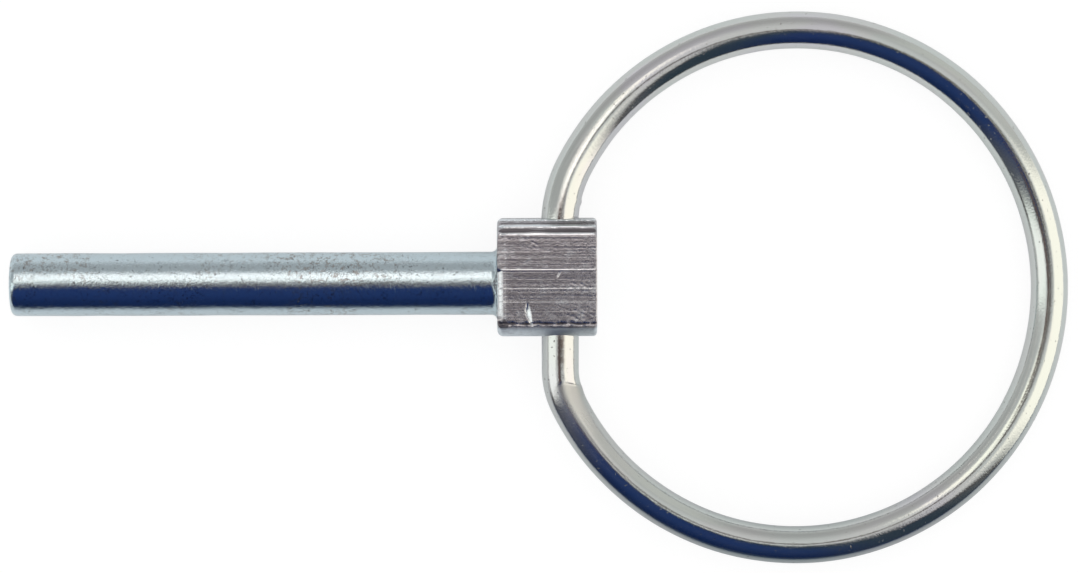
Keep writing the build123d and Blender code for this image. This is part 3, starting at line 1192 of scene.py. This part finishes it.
flat_colour = (patches.rise(0.52, 0.7) * 0.25).mix(flat_colour, BURNISH_AND_PAINTED_HIGHLIGHT)
flat_colour = (grain.rise(0.40, 0.31) * 0.5).mix(flat_colour, BURNISH_AND_PAINTED_HIGHLIGHT)
colour = sheared.mix(colour, flat_colour)
# Painted shade in the hollows.
colour = painted_hollow_shade.mix(colour, GRAIN_AND_HOLLOW_SHADE)
# Painted reflection of the paper on the lip.
colour = (lip * 0.8).mix(colour, BURNISH_AND_PAINTED_HIGHLIGHT)
# Burnish, partly a painted highlight, on the edges, steps, bevel and marks.
colour = (burnish_and_highlight_mask * 0.9).mix(colour, BURNISH_AND_PAINTED_HIGHLIGHT)

pits = noise(place, 6.5, detail=3, rough=0.65)
combed = noise(place, 4.4, detail=2, rough=0.6, stretch=(1, 0.35, 0.35), shift=(2, 6, 1))
dents = noise(place, 0.9, detail=2, shift=(8, 3, 5))
plain_height = pits * 0.018 + combed * 0.024 + dents * 0.014 - specks * 0.002
flat_height_noise = (drawn * 0.022 + grain * 0.024) * (1 - burnish_and_highlight_mask * 0.75)
relief = plain_height * (1 - sheared) + flat_height_noise * sheared
rough = SMOOTH + stains * 0.25 + sheared * 0.13 * (1 - burnish_and_highlight_mask) + painted_hollow_shade * 0.2 + lip * 0.36
plate(pin, pin_material, begin, colour, rough, relief)
print("the pin's plating has", len(pin_material.node_tree.nodes), "nodes")

# %% [markdown]
# ## Plating on the ring
#
# Drawn spring wire is smoother than a sheared head, so its plating is brighter and more neutral. What it
# shows is its drawing: long faint lines that follow the wire round the hoop, a few dark grains, and a very
# slight play of green and violet, as thin passivation gives. A pattern that follows a bent wire needs
# coordinates that are bent with it, so the mesh carries the distance along the wire and the place round
# it.

# %% Wire plating
WIRE_TONE = (0.565, 0.575, 0.56, 1)
WIRE_GREEN = (0.55, 0.58, 0.558, 1)
WIRE_VIOLET = (0.57, 0.563, 0.583, 1)
WIRE_DARK = (0.16, 0.15, 0.14, 1)
WIRE_BROWN = (0.20, 0.15, 0.12, 1)
WIRE_SCUFFED = (0.41, 0.41, 0.395, 1)
LEG_BROWN_PATCH, LEG_BROWN_PATCH_WIDTH = (4.4, 8.0, 0.9), (-0.32, 0.32, 0.22)

ring_material = bpy.data.materials.new("wire_plating")
begin = empty_tree(ring_material)
parts = {
    name: begin.node("ShaderNodeAttribute", {"attribute_name": label}, output="Fac") * MM
    for name, label in (("X", "wire_s"), ("Y", "wire_u"), ("Z", "wire_v"))
}
on_wire = begin.node("ShaderNodeCombineXYZ", inputs=parts)
play = noise(on_wire, 0.16, detail=2, stretch=(0.5, 2, 2))
colour = play.rise(0.42, 0.56).mix(WIRE_GREEN, WIRE_TONE)
colour = play.rise(0.56, 0.7).mix(colour, WIRE_VIOLET)
grains = noise(on_wire, 2.6, detail=3, shift=(4, 2, 6)).rise(0.68, 0.75)
colour = (grains * 0.7).mix(colour, WIRE_DARK)
from_end = wire_length - parts["X"] * (1 / MM)
from_crest = parts["Y"] * (1 / MM)
# A darker brown patch along the middle of the wire's top and underside, on the lower leg next to the head.
leg_brown_patch = from_end.band(*LEG_BROWN_PATCH) * from_crest.band(*LEG_BROWN_PATCH_WIDTH)
leg_brown_patch = leg_brown_patch * noise(on_wire, 1.2, detail=3, rough=0.7).rise(0.3, 0.6)
colour = (leg_brown_patch * 0.85).mix(colour, WIRE_BROWN)
scuff = begin.node("ShaderNodeAttribute", {"attribute_name": "scuffed"}, output="Fac")
colour = (scuff * 0.9).mix(colour, WIRE_SCUFFED)
drawing = noise(on_wire, 2.2, detail=3, rough=0.6, stretch=(0.16, 1, 1))
dust = noise(on_wire, 4.5, detail=2, rough=0.6)
relief = drawing * 0.007 + dust * 0.007 - grains * 0.012
rough = SMOOTH + drawing.rise(0.4, 0.7) * 0.05 + scuff * 0.32 + leg_brown_patch * 0.1
plate(ring, ring_material, begin, colour, rough, relief)
print("the wire's plating has", len(ring_material.node_tree.nodes), "nodes")

# %% [markdown]
# ## Fit the pieces to the frame
#
# The pin's mesh stands for the CAD pin and the ring's mesh for the CAD ring. Each rides on the body of the
# node that it replaces, so the ring swings round the cross hole when the joint moves.

# %% Ride and replace
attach(pin, "pin")
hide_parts("pin")
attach(ring, "ring")
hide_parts("ring")
